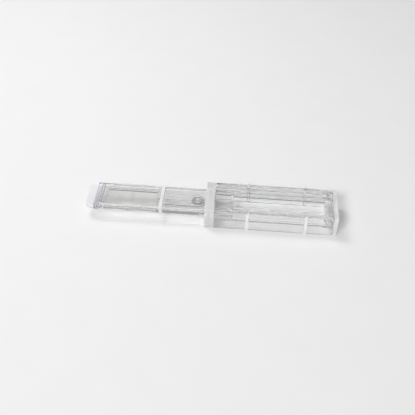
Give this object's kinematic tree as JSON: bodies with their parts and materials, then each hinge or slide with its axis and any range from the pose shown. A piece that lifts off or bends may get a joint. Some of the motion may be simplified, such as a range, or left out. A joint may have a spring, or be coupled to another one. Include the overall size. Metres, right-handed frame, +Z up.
{
  "type": "disposable counting chamber",
  "caption": "Clear plastic counting chamber: a slide-sized tray with a window and sample port that slides into an open clear housing.",
  "frame": {"origin": "on the resting plane, at the middle of the underside of the housing's mouth wall", "axes": "+X into the housing along the tray's slide, +Y across the housing, +Z up through the windows"},
  "size_m": [0.1751, 0.0332, 0.015],
  "materials": {
    "clear_housing": "clear polystyrene, polished",
    "clear_tray": "clear polystyrene, polished",
    "clear_sheet": "clear acrylic sheet",
    "spacer_film": "translucent adhesive film",
    "seal_rubber": "translucent grey silicone",
    "lavender_grip": "lavender translucent plastic"
  },
  "bodies": {
    "housing": {"housing_frame": "clear_housing", "mouth_collar": "clear_housing", "end_cap": "clear_housing", "end_pins": "clear_housing"},
    "tray": {"tray_frame": "clear_tray", "counting_plate": "clear_sheet", "chamber_spacer": "spacer_film", "cover_window": "clear_sheet", "channel_cover": "clear_sheet", "port_ring": "clear_tray", "port_seal": "seal_rubber", "end_grip": "lavender_grip"}
  },
  "joints": [
    {"name": "tray_slide", "type": "slide", "parent": "housing", "child": "tray", "axis": [1, 0, 0], "range_m": [0, 0.064]}
  ]
}
